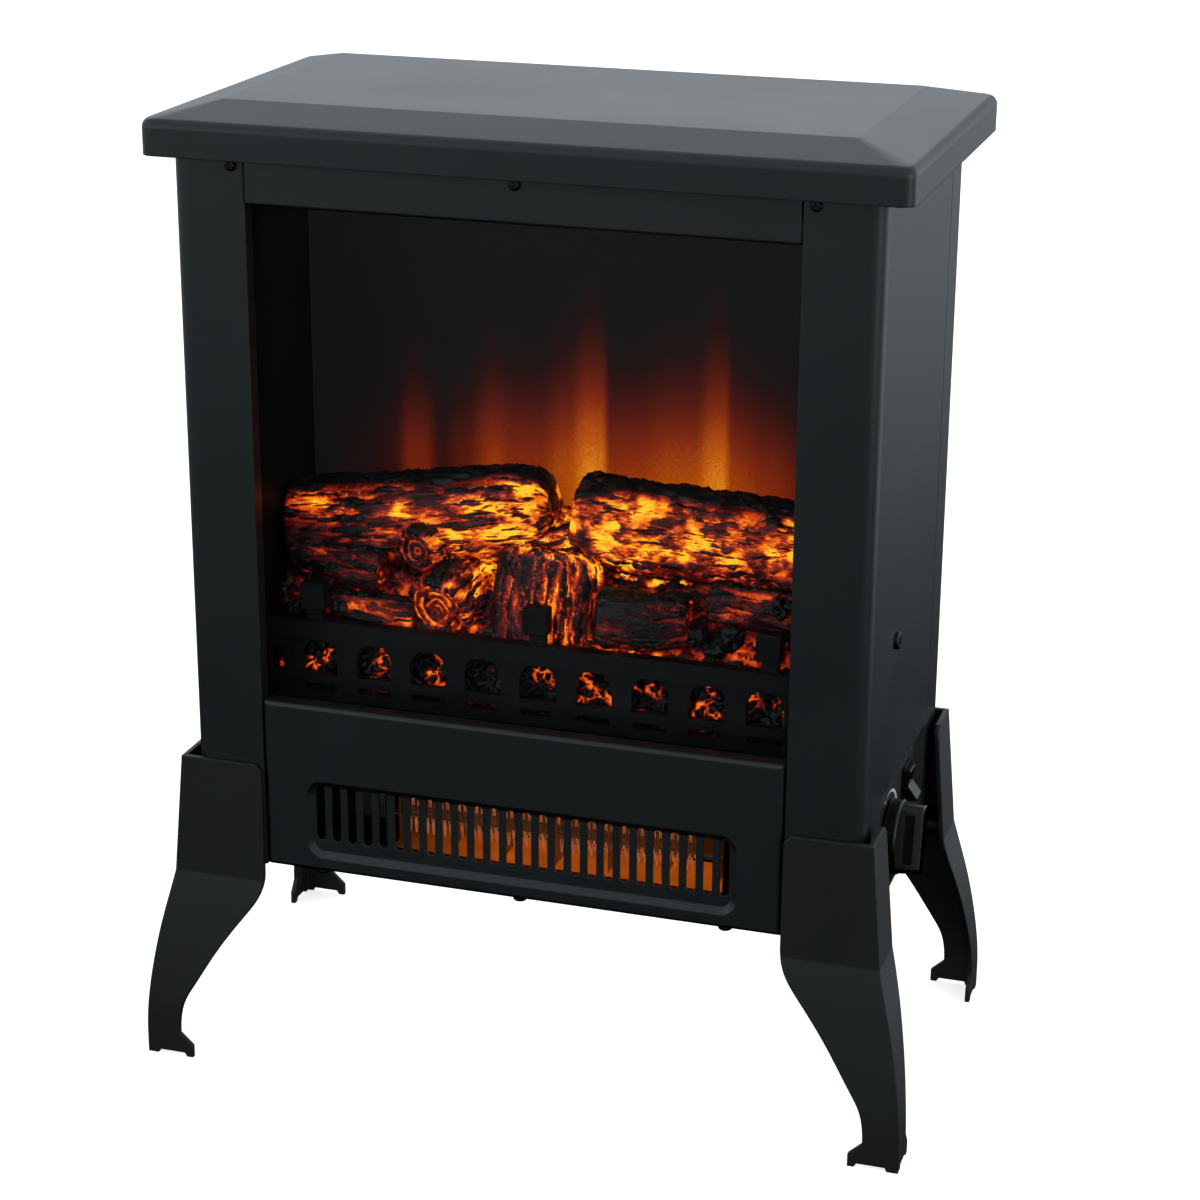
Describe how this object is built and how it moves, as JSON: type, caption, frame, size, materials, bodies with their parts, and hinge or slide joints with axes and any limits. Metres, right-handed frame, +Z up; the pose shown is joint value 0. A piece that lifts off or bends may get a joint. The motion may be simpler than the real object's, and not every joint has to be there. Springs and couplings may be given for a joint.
{
  "type": "electric fireplace",
  "caption": "Stove-style electric fireplace with a glazed log-effect fire, a slotted fan-heater outlet below, side thermostat knob and rocker switch, on flared corner legs.",
  "frame": {"origin": "centre of the footprint on the floor, under the feet", "axes": "+Z up, +X to the viewer's right, front with the glass faces -Y"},
  "size_m": [0.427, 0.231, 0.53],
  "materials": {
    "powder_black": "satin black powder coat with a fine texture",
    "leg_black": "satin black powder coat on cast metal",
    "zinc_steel": "galvanised sheet",
    "screw_black": "black oxide",
    "spring_steel": "satin",
    "firebox_black": "matt heat-proof paint",
    "hearth_gloss": "gloss black enamel",
    "clear_glass": "polished tempered",
    "flame_panel": "smoked translucent, lit from behind",
    "log_char": "moulded bark, charred, glowing seams",
    "ember_glow": "translucent coals, lit from below",
    "grate_black": "matt black moulding",
    "bush_nylon": "natural nylon",
    "foil_bright": "bright foil",
    "circuit_board": "white solder mask",
    "led_amber": "lit amber lens",
    "mica": "pressed mica board",
    "resistance_wire": "oxidised resistance wire",
    "impeller_metal": "plain rolled",
    "shaft_steel": "ground",
    "lamination": "oiled laminations",
    "copper_winding": "enamelled copper wire",
    "diecast": "as die-cast",
    "bush_bronze": "sintered bronze",
    "steatite": "unglazed",
    "gland_black": "matt moulded",
    "lead_insulation": "silicone sleeve",
    "control_black": "fine spark texture",
    "knob_black": "semi-gloss moulding"
  },
  "bodies": {
    "stove_body": {"top_lid": "powder_black", "left_casing": "powder_black", "right_casing": "powder_black", "rear_cover": "powder_black", "header_rail": "powder_black", "lower_panel": "powder_black", "base_plate": "zinc_steel", "heat_shield_deck": "zinc_steel", "glass_pane": "clear_glass", "glass_clips": "spring_steel", "firebox_wall_left": "firebox_black", "firebox_wall_right": "firebox_black", "firebox_roof": "firebox_black", "flame_screen": "flame_panel", "hearth_floor": "hearth_gloss", "log_bed": "log_char", "ember_bed": "ember_glow", "grate_front": "grate_black", "spindle_bracket_left": "zinc_steel", "spindle_bracket_right": "zinc_steel", "spindle_bush": "bush_nylon", "flame_motor": "zinc_steel", "ember_light_strip": "circuit_board", "ember_emitters": "led_amber", "flame_light_strip": "circuit_board", "flame_emitters": "led_amber", "heater_cheek_left": "zinc_steel", "heater_cheek_right": "zinc_steel", "fan_scroll": "zinc_steel", "element_frame": "mica", "heating_wires": "resistance_wire", "motor_stack": "lamination", "motor_coil": "copper_winding", "motor_bridges": "diecast", "impeller_bush": "bush_bronze", "thermal_cutout": "diecast", "terminal_block": "steatite", "mains_inlet_gland": "gland_black", "wire_loom": "lead_insulation", "control_plate": "control_black", "thermostat_body": "diecast", "rocker_housing": "knob_black", "leg_front_right": "leg_black", "leg_front_left": "leg_black", "leg_rear_right": "leg_black", "leg_rear_left": "leg_black", "leg_screws": "screw_black", "lid_screws": "screw_black", "panel_screws": "screw_black", "side_screws": "screw_black", "rear_screws": "screw_black"},
    "knob_turning": {"thermostat_knob": "knob_black", "thermostat_shaft": "shaft_steel"},
    "rocker_rocking": {"rocker_paddle": "knob_black"},
    "spindle_turning": {"flame_spindle": "shaft_steel", "flame_foils": "foil_bright"},
    "fan_turning": {"fan_impeller": "impeller_metal", "fan_shaft": "shaft_steel", "fan_rotor": "shaft_steel"}
  },
  "joints": [
    {"name": "thermostat_turn", "type": "hinge", "parent": "stove_body", "child": "knob_turning", "pos_m": [0.18, -0.0115, 0.143], "axis": [1, 0, 0], "range_deg": [-270, 0]},
    {"name": "rocker_rock", "type": "hinge", "parent": "stove_body", "child": "rocker_rocking", "pos_m": [0.1795, 0.031, 0.156], "axis": [0, 1, 0], "range_deg": [0, 28]},
    {"name": "spindle_spin", "type": "hinge", "parent": "stove_body", "child": "spindle_turning", "pos_m": [0, 0.046, 0.232], "axis": [1, 0, 0], "continuous": true},
    {"name": "fan_spin", "type": "hinge", "parent": "stove_body", "child": "fan_turning", "pos_m": [0, -0.028, 0.151], "axis": [1, 0, 0], "continuous": true}
  ]
}
